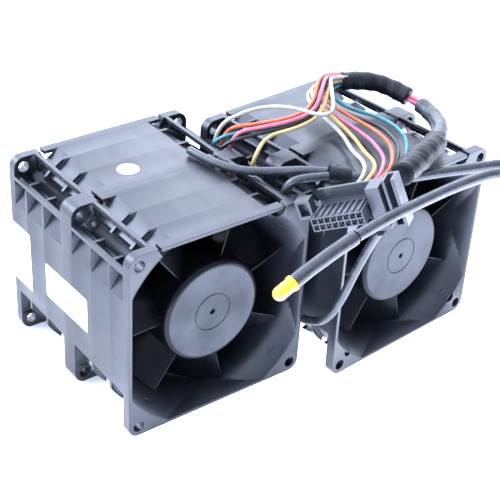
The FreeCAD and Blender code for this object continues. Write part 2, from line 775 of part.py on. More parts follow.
CORDS = {
    "wire_white_fan": (
        "wire_diameter",
        [
            (-6.5, 21.5, 77), (-6.6, 19.8, 85.5), (2.5, 15.5, 91), (10, 9, 94.5), (15.5, -1, 96.5),
            (20.5, -9.5, 95.5), (27, -10.5, 95.3), (33, -3, 97), (40.1, 7.6, 99.1),
            (48.1, 15.3, 95), (54.7, 13.3, 94.6),
        ],
    ),
    "wire_orange_fan": (
        "wire_diameter",
        [
            (-5, 19, 77), (-4.5, 18, 84.8), (5.2, 9, 87.7), (16.3, 1.4, 90.9), (25.6, 0.5, 93.5),
            (36.9, 11, 99.1), (47.3, 19.3, 95), (55.7, 16.7, 94.6),
        ],
    ),
    "wire_teal_fan": (
        "wire_diameter",
        [
            (-8.3, 20, 77), (-8.5, 17.5, 82), (5.2, 9, 85.3), (16.3, 1.4, 88.7), (25.6, 0.5, 91.5),
            (36.9, 11, 96.9), (47.2, 19.3, 93.3), (55.6, 16.7, 92.9),
        ],
    ),
    "wire_pink_fan": (
        "wire_diameter",
        [
            (-5, 13.6, 77), (-4.5, 12.5, 85), (5.2, 6, 87.7), (16, -1, 90.9), (26.5, -1.5, 93.5),
            (38.5, 9.3, 99.1), (47.7, 17.3, 95), (55.2, 15, 94.6),
        ],
    ),
    "wire_black_fan": (
        "wire_diameter",
        [
            (-8.3, 15, 77), (-8.5, 12.3, 81.8), (5.2, 6, 85.3), (16, -1, 88.7), (26.5, -1.5, 91.5),
            (38.5, 9.3, 96.9), (47.6, 17.3, 93.3), (55.1, 15, 92.9),
        ],
    ),
    "wire_yellow_fan": (
        "wire_diameter",
        [
            (-5.2, -2, 77), (-6, -4.2, 83), (5.2, 3, 85.3), (15.7, -3.4, 88.7), (27.4, -3.5, 91.5),
            (40.1, 7.6, 96.9), (48, 15.3, 93.3), (54.6, 13.4, 92.9),
        ],
    ),
    "wire_white_plug": (
        "wire_diameter",
        [
            (55.4, 16.8, 89.4), (42.1, 20.8, 90.1), (34.6, 15, 88.9), (34.8, 5.4, 85.9),
            (34, -10, 83.5), (27, -23, 84.5), (21, -36, 88), (16, -43.5, 88), (9, -44.3, 82.5),
            (2.3, -48.4, 82.5),
        ],
    ),
    "wire_yellow_plug": (
        "wire_diameter",
        [
            (55.5, 16.7, 91.1), (43.6, 20.4, 91.7), (36.5, 14.9, 90.5), (36.7, 5.6, 87.6),
            (37.5, -12, 83), (31, -26, 84), (25, -38, 87.5), (19.3, -44.9, 88), (10.2, -46.2, 83.6),
            (3.5, -50.4, 83.6),
        ],
    ),
    "wire_pink_plug": (
        "wire_diameter",
        [
            (54.9, 15.1, 89.4), (45.1, 18.1, 89.9), (38.6, 13, 88.8), (38.8, 4.1, 86),
            (43, -14, 82.5), (37.5, -28, 84), (27.5, -41.5, 88), (19, -46.9, 86),
            (11.4, -48.1, 84.6), (4.8, -52.3, 84.6),
        ],
    ),
    "wire_orange_plug": (
        "wire_diameter",
        [
            (55, 15.1, 91.1), (46.6, 17.6, 91.6), (40.5, 12.8, 90.6), (40.7, 4.1, 87.9),
            (47.5, -14, 84), (42.6, -27, 85.8), (33, -39.3, 89.5), (24, -48.6, 89.3),
            (12.6, -50.1, 85.6), (6, -54.2, 85.6),
        ],
    ),
    "wire_black_plug": (
        "wire_diameter",
        [
            (54.4, 13.4, 89.4), (47.9, 15.4, 89.7), (42.4, 11.1, 88.8), (42.6, 2.6, 86.1),
            (51.5, -12, 84.3), (48, -24, 84.8), (39.8, -36.2, 87.6), (29, -45.2, 86.8),
            (21, -50.3, 84), (13.2, -50.9, 83.3), (6.5, -55.1, 83.3),
        ],
    ),
    "wire_teal_plug": (
        "wire_diameter",
        [
            (54.5, 13.4, 91.1), (49.4, 14.9, 91.4), (44.3, 10.9, 90.6), (44.4, 2.6, 88),
            (54.5, -10, 86), (53.5, -22, 86), (46.3, -33.5, 88), (36, -43.5, 87.2),
            (26, -50.5, 86.4), (13.8, -52, 86.6), (7.2, -56.2, 86.6),
        ],
    ),
    "loom_sleeve": (
        "loom_diameter",
        [(55.2, 15, 92), (65, 12, 91.5), (73, 4, 89), (75.3, -3.5, 87.1)],
    ),
    "upper_bare_wires": (
        "core_diameter",
        [(75.4, -3.8, 87), (76.4, -8.4, 86)],
    ),
    "taped_sleeve": (
        "taped_diameter",
        [(76.4, -8.7, 86), (77, -14, 85), (73, -24, 85), (65, -33, 86.5), (57.5, -38.3, 88)],
    ),
    "lower_bare_wires": (
        "core_diameter",
        [(57.4, -38.4, 88), (54, -41, 88.8)],
    ),
    "boot_sleeve": (
        "boot_diameter",
        [(53.9, -41.1, 88.8), (45, -47, 90.8), (33, -52, 92), (21, -57, 92)],
    ),
    "left_jacketed_cable": (
        "cable_diameter",
        [
            (-24, 14, 82), (-23, 4, 82), (-17, -10, 82), (-6, -18.5, 82.8), (0.3, -26.8, 85.6),
            (6.7, -32, 85.5),
        ],
    ),
    "front_jacketed_cable": (
        "cable_diameter",
        [(-9, -27, 78.5), (-8.6, -27.9, 83), (-3.5, -31.5, 85.6), (4.8, -35.1, 85.5)],
    ),
}
LED_LEAD = [
    (13, -38, 84), (21, -43, 82.4), (33, -47.5, 82.3), (44, -50.2, 82.2), (58, -54.5, 82.2),
    (80, -61.7, 82.6), (85.5, -73.5, 84), (80, -86.5, 85.8), (66.5, -90, 87.8), (53, -79, 90.5),
    (31, -73.8, 91), (12, -75.5, 92),
    (-4, -76, 91), (-18, -77, 89),
]
SHRINK = [(-18.5, -77.03, 88.9), (-34, -77.6, 85.4), (-46, -78.2, 81)]
JOINT_START = Vector(6.2, -33.8, 85.4)
GAP_LEAD = [
    (3.7, -66, 77.7), (4.2, -62, 70), (2.6, -57, 55), (0.5, -54, 42), (-1.5, -49.5, 31),
    (-1.8, -43, 25.5), (-1.8, -36, 23),
]

for unit in ("left", "right"):
    for facing in ("front", "rear"):
        housing(unit, facing)
        impeller(unit, facing)
        rotor_parts(unit, facing)
    motor_groups(unit)
    rivets(unit)
plug()
plug_frame()
for label, (thickness, route) in CORDS.items():
    tube(label, route, thickness)
tube("led_lead", LED_LEAD, "lead_diameter")
tube("led_shrink_sleeve", SHRINK, "shrink_diameter")
tube("gap_lead", GAP_LEAD, "cable_diameter")
profile = [("0", "0"), ("joint_radius", "0"), ("joint_radius", "joint_length"), ("0", "joint_length")]
aim = Rotation(Vector(0, 0, 1), Vector(*LED_LEAD[0]) - JOINT_START)
node(turned(profile, "Joint"), "cable_joint", Placement(JOINT_START, aim))
led = turned(
    [
        ("0", "0"),
        ("led_flange_radius", "0"),
        ("led_flange_radius", "led_flange_height"),
        ("led_radius", "led_flange_height"),
        ("led_radius", "led_length - led_radius", "0.7071*led_radius", "led_length - 0.2929*led_radius"),
        ("led_tip_radius", "led_length"),
        ("0", "led_length"),
    ],
    "Led",
)
node(led, "yellow_led", along(SHRINK, 0))

# Check and write

doc.recompute()
for item in doc.Objects:
    if "Invalid" in item.State or "Error" in item.State:
        raise RuntimeError(f"{item.Name} ({item.Label}) failed: {item.State}")
for item in nodes:
    if item.Shape.isNull() or not item.Shape.isValid():
        raise RuntimeError(f"{item.Label} has no valid shape")
os.makedirs("parts", exist_ok=True)
for item in nodes:
    item.Shape.exportStep(f"parts/{item.Label}.step")
print(len(nodes), "nodes")
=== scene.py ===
import json
import math

import bmesh
import bpy
import numpy as np
from mathutils import Matrix, Vector


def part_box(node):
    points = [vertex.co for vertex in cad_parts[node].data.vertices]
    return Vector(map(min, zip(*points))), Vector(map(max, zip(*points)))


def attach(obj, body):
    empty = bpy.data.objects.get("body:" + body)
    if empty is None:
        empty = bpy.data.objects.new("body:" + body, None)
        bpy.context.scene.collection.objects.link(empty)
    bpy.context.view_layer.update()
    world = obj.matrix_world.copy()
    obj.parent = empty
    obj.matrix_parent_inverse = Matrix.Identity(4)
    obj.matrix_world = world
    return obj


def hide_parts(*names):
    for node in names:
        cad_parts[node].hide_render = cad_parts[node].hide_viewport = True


# Two twin-rotor fan units on one wiring harness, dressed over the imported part.
# The frame is in metres: +X from the left unit to the right one, +Y from the
# inlets to the outlets, +Z up.

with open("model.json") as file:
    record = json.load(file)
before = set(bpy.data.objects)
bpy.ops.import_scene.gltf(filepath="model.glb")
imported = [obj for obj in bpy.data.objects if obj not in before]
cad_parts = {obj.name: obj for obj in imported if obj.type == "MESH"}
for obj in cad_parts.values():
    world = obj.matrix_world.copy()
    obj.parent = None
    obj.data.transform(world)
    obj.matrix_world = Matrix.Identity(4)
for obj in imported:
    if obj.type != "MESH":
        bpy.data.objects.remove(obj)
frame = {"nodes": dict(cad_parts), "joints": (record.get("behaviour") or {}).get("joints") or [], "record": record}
nodes = frame["nodes"]
mounts = {mount["name"]: mount for mount in frame["record"]["mounts"]}
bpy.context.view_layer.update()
scene = bpy.context.scene

STATOR_BODY = "fan_pair_frame"
MM = 0.001


# Camera

CAMERA_PLACE = (-0.27299, -0.33582, 0.31344)
CAMERA_YAW, CAMERA_TILT, CAMERA_ROLL = -38.8902, 57.2448, 3.5782
CAMERA_LENS, CAMERA_CLIP = 90.05, 0.01

camera = bpy.data.objects.new("camera", bpy.data.cameras.new("camera"))
scene.collection.objects.link(camera)
camera.data.lens = CAMERA_LENS
camera.data.clip_start = CAMERA_CLIP
camera.matrix_world = (
    Matrix.Translation(CAMERA_PLACE)
    @ Matrix.Rotation(math.radians(CAMERA_YAW), 4, "Z")
    @ Matrix.Rotation(math.radians(CAMERA_TILT), 4, "X")
    @ Matrix.Rotation(math.radians(CAMERA_ROLL), 4, "Z")
)
scene.camera = camera


# Shader nodes


def feed(tree, socket, value):
    """Give an input its link or its value."""
    if isinstance(value, bpy.types.NodeSocket):
        tree.links.new(value, socket)
    else:
        socket.default_value = value


def wire_up(tree, item, inputs):
    """Give a node's inputs, named with _ for a space, their links or values."""
    for name, value in inputs.items():
        feed(tree, item.inputs[name.replace("_", " ")], value)


def add(tree, kind, settings=None, **inputs):
    """A shader node with its settings and its inputs."""
    item = tree.nodes.new("ShaderNode" + kind)
    for name, value in (settings or {}).items():
        setattr(item, name, value)
    wire_up(tree, item, inputs)
    return item


def fresh(name):
    """A new material, its node tree, its shader and its Object coordinates."""
    material = bpy.data.materials.new(name)
    material.use_nodes = True
    tree = material.node_tree
    return material, tree, tree.nodes["Principled BSDF"], add(tree, "TexCoord").outputs["Object"]


def computed(tree, kind, operation, *operands):
    """Outputs of a Math or VectorMath node over links or values."""
    item = add(tree, kind, {"operation": operation})
    for socket, value in zip(item.inputs, operands):
        feed(tree, socket, value)
    return item.outputs


def noise(tree, place, scale, detail, stretch=None):
    """Noise between 0 and 1 over a place, drawn out along the axes where stretch is below 1."""
    if stretch:
        place = add(tree, "Mapping", Vector=place, Scale=stretch).outputs["Vector"]
    return add(tree, "TexNoise", Vector=place, Scale=scale, Detail=detail).outputs["Fac"]


def spread(tree, value, low, high, start=0.35, stop=0.65):
    """A value stretched from start..stop to low..high and held there; noise lies about 0.35..0.65."""
    names = {"From_Min": start, "From_Max": stop, "To_Min": low, "To_Max": high}
    return add(tree, "MapRange", Value=value, **names).outputs["Result"]


def patches(tree, place, scale, detail):
    """Share between 0 and 1 that varies in soft patches."""
    return spread(tree, noise(tree, place, scale, detail), 0, 1)


def blend(tree, share, first, second):
    """Colour that goes from first to second."""
    mix = add(tree, "Mix", {"data_type": "RGBA"})
    tree.links.new(share, mix.inputs[0])
    for socket, colour in ((mix.inputs[6], first), (mix.inputs[7], second)):
        feed(tree, socket, colour if isinstance(colour, bpy.types.NodeSocket) else (*colour, 1))
    return mix.outputs[2]


def bumped(tree, height, depth, strength, edge=None):
    """Normal with a relief of that depth, over edges rounded by a radius where given."""
    inputs = {"Height": height, "Distance": depth, "Strength": strength}
    if edge:
        inputs["Normal"] = add(tree, "Bevel", {"samples": EDGE_SAMPLES}, Radius=edge).outputs["Normal"]
    return add(tree, "Bump", **inputs).outputs["Normal"]


# Finishes

EDGE_SAMPLES = 6
MOULDED_TINT, HUB_TINT, RUBBER_TINT = (0.82, 0.89, 1.0, 1), (0.86, 0.92, 1.0, 1), (0.88, 0.93, 1.0, 1)
HUB_FACE, HUB_STEP = 16.5 * MM, (0.6 * MM, 0.5 * MM)
HUB_DISC_EDGE = (19.2 * MM, 19.7 * MM)
HUB_TURNING = 14000  # radians per metre of radius
HUB_BLACK = ((0.0016, 0.0018, 0.003), (0.004, 0.0045, 0.0065))
HUB_GREY = ((0.030, 0.033, 0.040), (0.056, 0.061, 0.072))
LAMP_AMBER = ((0.60, 0.33, 0.004), (0.72, 0.45, 0.012))


def moulded(name, deep, light, gloss, matt, edge=0.35 * MM):
    """Moulded plastic: flow patches of two tones, spark-eroded grain and slightly polished spots."""
    material, tree, shader, place = fresh(name)
    flow = patches(tree, place, scale=55, detail=4)
    rubbed = spread(tree, noise(tree, place, scale=160, detail=5, stretch=(1, 0.4, 1)), gloss, matt)
    grain = noise(tree, place, scale=2600, detail=2)
    wire_up(
        tree,
        shader,
        {
            "Base_Color": blend(tree, flow, deep, light),
            "Roughness": rubbed,
            "Specular_Tint": MOULDED_TINT,
            "Normal": bumped(tree, grain, depth=0.02 * MM, strength=0.5, edge=edge),
        },
    )
    return material


def hub_faced(name, centre, yaw):
    """Impeller plastic whose flat hub face carries a paler matt disc with fine turning marks."""
    material, tree, shader, place = fresh(name)
    turned_back = {"vector_type": "TEXTURE"}
    own = add(tree, "Mapping", turned_back, Vector=place, Location=centre, Rotation=(0, 0, yaw)).outputs["Vector"]
    radius = computed(tree, "VectorMath", "MULTIPLY", own, (1, 0, 1))["Vector"]
    radius = computed(tree, "VectorMath", "LENGTH", radius)["Value"]
    depth = add(tree, "SeparateXYZ", Vector=own).outputs["Y"]
    depth = computed(tree, "Math", "ABSOLUTE", depth)["Value"]
    inside = spread(tree, radius, 1, 0, *HUB_DISC_EDGE)
    raised = spread(tree, depth, 0, 1, *(HUB_FACE - step for step in HUB_STEP))
    disc = computed(tree, "Math", "MULTIPLY", inside, raised)["Value"]
    flow = patches(tree, place, scale=60, detail=4)
    marks = computed(tree, "Math", "MULTIPLY", radius, HUB_TURNING)["Value"]
    marks = computed(tree, "Math", "SINE", marks)["Value"]
    marks = computed(tree, "Math", "MULTIPLY", marks, disc)["Value"]
    wire_up(
        tree,
        shader,
        {
            "Base_Color": blend(tree, disc, blend(tree, flow, *HUB_BLACK), blend(tree, flow, *HUB_GREY)),
            "Roughness": spread(tree, disc, 0.24, 0.5, 0, 1),
            "Specular_Tint": HUB_TINT,
            "Specular_IOR_Level": 0.12,
            "Normal": bumped(tree, marks, depth=0.006 * MM, strength=0.5, edge=0.3 * MM),
        },
    )
    return material


def metal(name, deep, light, gloss, matt, stretch=None):
    """Bare metal: tarnish patches over drawn or rolled scratches."""
    material, tree, shader, place = fresh(name)
    tarnish = patches(tree, place, scale=300, detail=4)
    scratches = noise(tree, place, scale=1800, detail=4, stretch=stretch)
    wire_up(
        tree,
        shader,
        {
            "Metallic": 1,
            "Base_Color": blend(tree, tarnish, deep, light),
            "Roughness": spread(tree, scratches, gloss, matt),
            "Normal": bumped(tree, scratches, depth=0.01 * MM, strength=0.3),
        },
    )
    return material


def insulated(name, deep, light, gloss=0.3):
    """Extruded wire insulation: faint colour bands, a soft gloss and small kinks in the skin."""
    material, tree, shader, place = fresh(name)
    bands = patches(tree, place, scale=260, detail=3)
    skin = noise(tree, place, scale=1500, detail=3)
    wire_up(
        tree,
        shader,
        {
            "Base_Color": blend(tree, bands, deep, light),
            "Roughness": spread(tree, skin, gloss, gloss + 0.18),
            "Normal": bumped(tree, skin, depth=0.03 * MM, strength=0.4),
        },
    )
    return material


def rubbery(name, deep, light, matt, crinkle, shine=0.5):
    """Soft black sleeve: dusty patches and a fine crinkled skin."""
    material, tree, shader, place = fresh(name)
    dust = patches(tree, place, scale=240, detail=5)
    skin = noise(tree, place, scale=900, detail=5)
    wire_up(
        tree,
        shader,
        {
            "Base_Color": blend(tree, dust, deep, light),
            "Roughness": spread(tree, skin, matt - 0.1, matt + 0.1),
            "Specular_Tint": RUBBER_TINT,
            "Specular_IOR_Level": shine,
            "Normal": bumped(tree, skin, depth=crinkle, strength=0.6),
        },
    )
    return material


def paper(name, deep, light):
    """Bare printed-label stock: satin film over paper with soft handling marks."""
    material, tree, shader, place = fresh(name)
    marks = patches(tree, place, scale=130, detail=5)
    fibre = noise(tree, place, scale=3000, detail=3)
    wire_up(
        tree,
        shader,
        {
            "Base_Color": blend(tree, marks, deep, light),
            "Roughness": spread(tree, fibre, 0.35, 0.55),
            "Normal": bumped(tree, fibre, depth=0.01 * MM, strength=0.3),
        },
    )
    return material


def lamp_resin(name):
    """Dyed epoxy of the lamp: slightly clear amber with cloudier, paler patches."""
    material, tree, shader, place = fresh(name)
    cloud = patches(tree, place, scale=400, detail=3)
    skin = noise(tree, place, scale=900, detail=2)
    wire_up(
        tree,
        shader,
        {
            "Base_Color": blend(tree, cloud, *LAMP_AMBER),
            "Roughness": spread(tree, cloud, 0.16, 0.3),
            "Transmission_Weight": 0.25,
            "Coat_Weight": 0.4,
            "Normal": bumped(tree, skin, depth=0.02 * MM, strength=0.4),
        },
    )
    return material


HOUSING = moulded("housing_black", (0.0045, 0.005, 0.008), (0.009, 0.010, 0.015), gloss=0.33, matt=0.40)
PLUG = moulded("plug_black", (0.014, 0.016, 0.021), (0.027, 0.030, 0.040), gloss=0.26, matt=0.38, edge=0.12 * MM)
STEEL = metal("bright_steel", (0.55, 0.56, 0.58), (0.72, 0.72, 0.73), gloss=0.16, matt=0.34)
TIN = metal("tinned_rivet", (0.50, 0.51, 0.54), (0.75, 0.75, 0.77), gloss=0.22, matt=0.42)
CONTACT = metal("contact_tin", (0.16, 0.16, 0.17), (0.40, 0.39, 0.38), gloss=0.3, matt=0.5)
CUP = metal("cup_steel", (0.30, 0.31, 0.33), (0.45, 0.46, 0.48), gloss=0.3, matt=0.5, stretch=(1, 6, 1))
MAGNET = moulded("magnet_grey", (0.03, 0.03, 0.032), (0.06, 0.06, 0.064), gloss=0.5, matt=0.7)
CORE = metal("core_sheets", (0.22, 0.22, 0.23), (0.42, 0.42, 0.44), gloss=0.35, matt=0.55, stretch=(1, 30, 1))
COPPER = metal("enamelled_copper", (0.42, 0.15, 0.05), (0.68, 0.27, 0.10), gloss=0.2, matt=0.4, stretch=(30, 1, 1))
BOARD = moulded("board_green", (0.004, 0.025, 0.011), (0.008, 0.045, 0.02), gloss=0.22, matt=0.4)
LAMP = lamp_resin("amber_resin")
JACKET = rubbery("jacket_black", (0.012, 0.0135, 0.018), (0.026, 0.029, 0.037), matt=0.33, crinkle=0.05 * MM)
SLEEVE = rubbery(
    "sleeve_black", (0.0018, 0.002, 0.003), (0.005, 0.006, 0.009), matt=0.44, crinkle=0.12 * MM, shine=0.25
)
TAPE = rubbery("tape_black", (0.010, 0.011, 0.015), (0.022, 0.024, 0.031), matt=0.34, crinkle=0.06 * MM)
LABEL = paper("label_white", (0.40, 0.41, 0.44), (0.50, 0.51, 0.54))
WIRES = {
    "white": insulated("wire_white", (0.26, 0.245, 0.23), (0.36, 0.345, 0.33)),
    "yellow": insulated("wire_yellow", (0.36, 0.22, 0.05), (0.46, 0.31, 0.10)),
    "cream": insulated("wire_cream", (0.36, 0.26, 0.10), (0.46, 0.36, 0.17)),
    "pink": insulated("wire_pink", (0.40, 0.07, 0.13), (0.52, 0.12, 0.20)),
    "orange": insulated("wire_orange", (0.33, 0.055, 0.012), (0.44, 0.10, 0.03)),
    "teal": insulated("wire_teal", (0.003, 0.09, 0.12), (0.01, 0.16, 0.19)),
    "black": insulated("wire_black", (0.003, 0.003, 0.004), (0.009, 0.009, 0.011), gloss=0.34),
}

PLAIN_FINISHES = {
    "housing": HOUSING,
    "bearings": STEEL,
    "shaft": STEEL,
    "rivets": TIN,
    "rotor_cup": CUP,
    "magnet_ring": MAGNET,
    "stator_cores": CORE,
    "windings": COPPER,
    "circuit_boards": BOARD,
    "plug_housing": PLUG,
    "plug_frame": PLUG,
    "cable_joint": SLEEVE,
    "yellow_led": LAMP,
}


def paint(piece, material):
    """Give a piece one finish in place of what it has."""
    piece.data.materials.clear()
    piece.data.materials.append(material)


for name, piece in nodes.items():
    for ending, finish in PLAIN_FINISHES.items():
        if name.endswith(ending):
            paint(piece, finish)

for joint in frame["joints"]:
    rotor = joint["child"].removesuffix("_rotor")
    yaw = math.atan2(-joint["axis"][0], joint["axis"][1])
    paint(nodes[f"{rotor}_impeller"], hub_faced(f"{rotor}_black", joint["pos_m"], yaw))


# Cords: the routes' points are the control points of quadratic splines

ROUTES = {
    "wire_white_fan": [
        (-0.0065, 0.0215, 0.077), (-0.0066, 0.0198, 0.0855), (0.0025, 0.0155, 0.091),
        (0.01, 0.009, 0.0945), (0.0155, -0.001, 0.0965), (0.0205, -0.0095, 0.0955),
        (0.027, -0.0105, 0.0953), (0.033, -0.003, 0.097), (0.0401, 0.0076, 0.0991),
        (0.0481, 0.0153, 0.095), (0.0547, 0.0133, 0.0946),
    ],
    "wire_orange_fan": [
        (-0.005, 0.019, 0.077), (-0.0045, 0.018, 0.0848), (0.0052, 0.009, 0.0877),
        (0.0163, 0.0014, 0.0909), (0.0256, 0.0005, 0.0935), (0.0369, 0.011, 0.0991),
        (0.0473, 0.0193, 0.095), (0.0557, 0.0167, 0.0946),
    ],
    "wire_teal_fan": [
        (-0.0083, 0.02, 0.077), (-0.0085, 0.0175, 0.082), (0.0052, 0.009, 0.0853),
        (0.0163, 0.0014, 0.0887), (0.0256, 0.0005, 0.0915), (0.0369, 0.011, 0.0969),
        (0.0472, 0.0193, 0.0933), (0.0556, 0.0167, 0.0929),
    ],
    "wire_pink_fan": [
        (-0.005, 0.0136, 0.077), (-0.0045, 0.0125, 0.085), (0.0052, 0.006, 0.0877),
        (0.016, -0.001, 0.0909), (0.0265, -0.0015, 0.0935), (0.0385, 0.0093, 0.0991),
        (0.0477, 0.0173, 0.095), (0.0552, 0.015, 0.0946),
    ],
    "wire_black_fan": [
        (-0.0083, 0.015, 0.077), (-0.0085, 0.0123, 0.0818), (0.0052, 0.006, 0.0853),
        (0.016, -0.001, 0.0887), (0.0265, -0.0015, 0.0915), (0.0385, 0.0093, 0.0969),
        (0.0476, 0.0173, 0.0933), (0.0551, 0.015, 0.0929),
    ],
    "wire_yellow_fan": [
        (-0.0052, -0.002, 0.077), (-0.006, -0.0042, 0.083), (0.0052, 0.003, 0.0853),
        (0.0157, -0.0034, 0.0887), (0.0274, -0.0035, 0.0915), (0.0401, 0.0076, 0.0969),
        (0.048, 0.0153, 0.0933), (0.0546, 0.0134, 0.0929),
    ],
    "wire_white_plug": [
        (0.0554, 0.0168, 0.0894), (0.0421, 0.0208, 0.0901), (0.0346, 0.015, 0.0889),
        (0.0348, 0.0054, 0.0859), (0.034, -0.01, 0.0835), (0.027, -0.023, 0.0845),
        (0.021, -0.036, 0.088), (0.016, -0.0435, 0.088), (0.009, -0.0443, 0.0825),
        (0.0023, -0.0484, 0.0825),
    ],
    "wire_yellow_plug": [
        (0.0555, 0.0167, 0.0911), (0.0436, 0.0204, 0.0917), (0.0365, 0.0149, 0.0905),
        (0.0367, 0.0056, 0.0876), (0.0375, -0.012, 0.083), (0.031, -0.026, 0.084),
        (0.025, -0.038, 0.0875), (0.0193, -0.0449, 0.088), (0.0102, -0.0462, 0.0836),
        (0.0035, -0.0504, 0.0836),
    ],
    "wire_pink_plug": [
        (0.0549, 0.0151, 0.0894), (0.0451, 0.0181, 0.0899), (0.0386, 0.013, 0.0888),
        (0.0388, 0.0041, 0.086), (0.043, -0.014, 0.0825), (0.0375, -0.028, 0.084),
        (0.0275, -0.0415, 0.088), (0.019, -0.0469, 0.086), (0.0114, -0.0481, 0.0846),
        (0.0048, -0.0523, 0.0846),
    ],
    "wire_orange_plug": [
        (0.055, 0.0151, 0.0911), (0.0466, 0.0176, 0.0916), (0.0405, 0.0128, 0.0906),
        (0.0407, 0.0041, 0.0879), (0.0475, -0.014, 0.084), (0.0426, -0.027, 0.0858),
        (0.033, -0.0393, 0.0895), (0.024, -0.0486, 0.0893), (0.0126, -0.0501, 0.0856),
        (0.006, -0.0542, 0.0856),
    ],
    "wire_black_plug": [
        (0.0544, 0.0134, 0.0894), (0.0479, 0.0154, 0.0897), (0.0424, 0.0111, 0.0888),
        (0.0426, 0.0026, 0.0861), (0.0515, -0.012, 0.0843), (0.048, -0.024, 0.0848),
        (0.0398, -0.0362, 0.0876), (0.029, -0.0452, 0.0868), (0.021, -0.0503, 0.084),
        (0.0132, -0.0509, 0.0833), (0.0065, -0.0551, 0.0833),
    ],
    "wire_teal_plug": [
        (0.0545, 0.0134, 0.0911), (0.0494, 0.0149, 0.0914), (0.0443, 0.0109, 0.0906),
        (0.0444, 0.0026, 0.088), (0.0545, -0.01, 0.086), (0.0535, -0.022, 0.086),
        (0.0463, -0.0335, 0.088), (0.036, -0.0435, 0.0872), (0.026, -0.0505, 0.0864),
        (0.0138, -0.052, 0.0866), (0.0072, -0.0562, 0.0866),
    ],
    "loom_sleeve": [
        (0.0552, 0.015, 0.092), (0.065, 0.012, 0.0915), (0.073, 0.004, 0.089),
        (0.0753, -0.0035, 0.0871),
    ],
    "upper_bare_wires": [
        (0.0754, -0.0038, 0.087), (0.0764, -0.0084, 0.086),
    ],
    "taped_sleeve": [
        (0.0764, -0.0087, 0.086), (0.077, -0.014, 0.085), (0.073, -0.024, 0.085),
        (0.065, -0.033, 0.0865), (0.0575, -0.0383, 0.088),
    ],
    "lower_bare_wires": [
        (0.0574, -0.0384, 0.088), (0.054, -0.041, 0.0888),
    ],
    "boot_sleeve": [
        (0.0539, -0.0411, 0.0888), (0.045, -0.047, 0.0908), (0.033, -0.052, 0.092),
        (0.021, -0.057, 0.092),
    ],
    "left_jacketed_cable": [
        (-0.024, 0.014, 0.082), (-0.023, 0.004, 0.082), (-0.017, -0.01, 0.082),
        (-0.006, -0.0185, 0.0828), (0.0003, -0.0268, 0.0856), (0.0067, -0.032, 0.0855),
    ],
    "front_jacketed_cable": [
        (-0.009, -0.027, 0.0785), (-0.0086, -0.0279, 0.083), (-0.0035, -0.0315, 0.0856),
        (0.0048, -0.0351, 0.0855),
    ],
    "led_lead": [
        (0.013, -0.038, 0.084), (0.021, -0.043, 0.0824), (0.033, -0.0475, 0.0823),
        (0.044, -0.0502, 0.0822), (0.058, -0.0545, 0.0822), (0.08, -0.0617, 0.0826),
        (0.0852, -0.0735, 0.084), (0.0809, -0.0855, 0.0858), (0.0695, -0.0875, 0.0885),
        (0.058, -0.0737, 0.0912), (0.033, -0.0734, 0.0918), (0.012, -0.0755, 0.092),
        (-0.004, -0.076, 0.091), (-0.018, -0.077, 0.089),
    ],
    "led_shrink_sleeve": [
        (-0.0185, -0.07703, 0.0889), (-0.034, -0.0776, 0.0854), (-0.046, -0.0782, 0.081),
    ],
    "gap_lead": [
        (0.0037, -0.066, 0.0777), (0.0042, -0.062, 0.07), (0.0026, -0.057, 0.055),
        (0.0005, -0.054, 0.042), (-0.0015, -0.0495, 0.031), (-0.0018, -0.043, 0.0255),
        (-0.0018, -0.036, 0.023),
    ],
}
WIRE, CABLE, LEAD = 1.6 * MM, 3.4 * MM, 4.2 * MM

# name: finish, diameter, length, what is on the far end, stiffness
FREE_CORDS = {
    "wire_white_fan": ("white", WIRE, 0.097, "object", "limp"),
    "wire_orange_fan": ("orange", WIRE, 0.081, "object", "limp"),
    "wire_teal_fan": ("teal", WIRE, 0.082, "object", "limp"),
    "wire_pink_fan": ("pink", WIRE, 0.079, "object", "limp"),
    "wire_black_fan": ("black", WIRE, 0.080, "object", "limp"),
    "wire_yellow_fan": ("cream", WIRE, 0.077, "object", "limp"),
    "wire_white_plug": ("white", WIRE, 0.102, "connector", "limp"),
    "wire_yellow_plug": ("yellow", WIRE, 0.103, "connector", "limp"),
    "wire_pink_plug": ("pink", WIRE, 0.103, "connector", "limp"),
    "wire_orange_plug": ("orange", WIRE, 0.106, "connector", "limp"),
    "wire_black_plug": ("black", WIRE, 0.105, "connector", "limp"),
    "wire_teal_plug": ("teal", WIRE, 0.107, "connector", "limp"),
    "left_jacketed_cable": ("jacket", CABLE, 0.058, "fitting", "medium"),
    "led_lead": ("jacket", LEAD, 0.199, "fitting", "stiff"),
    "gap_lead": ("jacket", CABLE, 0.066, "object", "medium"),
}


SPLINE_ORDER, SPLINE_STEPS, CORD_BEVEL_STEPS = 3, 14, 5
LIP, LIP_START = 0.5 * MM, 0.72
SLEEVE_STEP, SLEEVE_AROUND, FOLDS_FADE = 0.35 * MM, 56, 2 * MM
STRAND_STEP, STRAND_AROUND, STRAND_RING = 0.4 * MM, 16, 1.15 * MM
BARE_OVERLAP = 2.5 * MM


def spline_of(name, points):
    """Curve of one open quadratic spline over a route's points."""
    curve = bpy.data.curves.new(name, "CURVE")
    curve.dimensions = "3D"
    spline = curve.splines.new("NURBS")
    spline.points.add(len(points) - 1)
    spline.points.foreach_set("co", np.c_[points, np.ones(len(points))].ravel())
    spline.order_u = SPLINE_ORDER
    spline.use_endpoint_u = True
    spline.resolution_u = SPLINE_STEPS
    return curve


def placed(name, data, material, replaced=()):
    """Object for a finished piece that rides on the standing body."""
    piece = bpy.data.objects.new(name, data)
    scene.collection.objects.link(piece)
    for each in material if isinstance(material, list) else [material]:
        data.materials.append(each)
    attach(piece, STATOR_BODY)
    if replaced:
        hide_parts(*replaced)
    return piece


